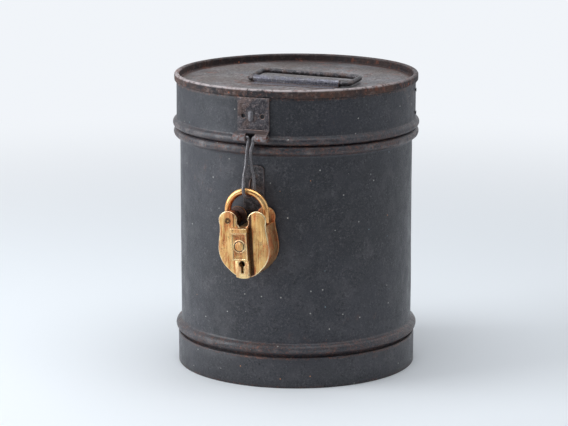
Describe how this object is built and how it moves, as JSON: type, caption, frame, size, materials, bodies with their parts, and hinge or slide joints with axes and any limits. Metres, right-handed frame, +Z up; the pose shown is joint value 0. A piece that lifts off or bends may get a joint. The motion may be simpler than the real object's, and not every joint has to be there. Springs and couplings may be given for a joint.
{
  "type": "tin trunk",
  "caption": "Small round tin trunk with a hinged lid, wire bail, hasp link and a hanging lever padlock, for papers and keepsakes.",
  "frame": {"origin": "on the drum's axis, in the plane of the floor's underside", "axes": "+Z up along the drum, -Y towards the hasp, +X to the right seen from the front"},
  "size_m": [0.2544, 0.293, 0.3046],
  "materials": {
    "tin_black": "worn satin black paint on tinplate",
    "tin_top": "dusty worn black paint with rust",
    "iron_rusted": "dark rusted iron",
    "iron_brown": "brown rusted iron",
    "brass_shackle": "rubbed red brass",
    "brass": "brushed old brass",
    "brass_dark": "dark tarnished brass"
  },
  "bodies": {
    "root": {"body_shell": "tin_black", "bottom_disc": "tin_black", "plinth_band": "tin_black", "body_seam_rivets": "iron_rusted", "staple_plate": "iron_rusted", "staple": "iron_brown", "staple_rivets": "iron_brown", "hinge_body_leaf": "iron_rusted", "hinge_pin": "iron_rusted", "hinge_body_rivets": "iron_rusted"},
    "lid": {"lid_band": "tin_black", "lid_top_panel": "tin_top", "lid_seam_rivets": "iron_rusted", "hinge_lid_leaf": "iron_rusted", "hinge_lid_rivets": "iron_rusted", "handle_sleeve": "iron_rusted", "handle_rivets": "iron_brown", "hasp_plate": "iron_brown", "hasp_rivet": "iron_rusted"},
    "bail": {"handle_bail": "iron_rusted"},
    "link": {"hasp_link": "iron_brown"},
    "shackle": {"shackle": "brass_shackle"},
    "lock_case": {"lock_front_plate": "brass", "lock_back_plate": "brass", "lock_side_band": "brass", "valley_bar": "brass_dark", "heel_pin": "brass_dark", "case_rivets": "brass", "keyhole_plaque": "brass", "keyhole_plate": "brass", "key_pin": "brass_dark", "lever_pin": "brass_dark", "bolt_guide": "brass_dark"},
    "lock_bolt": {"lock_bolt": "brass_dark"},
    "levers": {"levers": "brass", "lever_springs": "brass_dark"}
  },
  "joints": [
    {"name": "lid_hinge", "type": "hinge", "parent": "root", "child": "lid", "pos_m": [0, 0.1312, 0.24775], "axis": [-1, 0, 0], "range_deg": [0, 110]},
    {"name": "bail_swing", "type": "hinge", "parent": "lid", "child": "bail", "pos_m": [0.014, -0.036, 0.2992], "axis": [0.9986, -0.0523, 0], "range_deg": [0, 170]},
    {"name": "link_swing", "type": "hinge", "parent": "lid", "child": "link", "pos_m": [0.001, -0.1318, 0.2566], "axis": [-1, 0, 0], "range_deg": [0, 100]},
    {"name": "lock_swing", "type": "hinge", "parent": "link", "child": "shackle", "pos_m": [-0.0015, -0.1366, 0.1833], "axis": [0, 1, 0], "range_deg": [-25, 25]},
    {"name": "case_swing", "type": "hinge", "parent": "shackle", "child": "lock_case", "pos_m": [-0.01624, -0.1366, 0.17511], "axis": [0, 1, 0], "range_deg": [0, 60]},
    {"name": "bolt_slide", "type": "slide", "parent": "lock_case", "child": "lock_bolt", "axis": [0.9982, 0, 0.0593], "range_m": [0, 0.003]},
    {"name": "lever_lift", "type": "hinge", "parent": "lock_case", "child": "levers", "pos_m": [-0.0124, -0.1366, 0.14759], "axis": [0, -1, 0], "range_deg": [0, 8]}
  ]
}
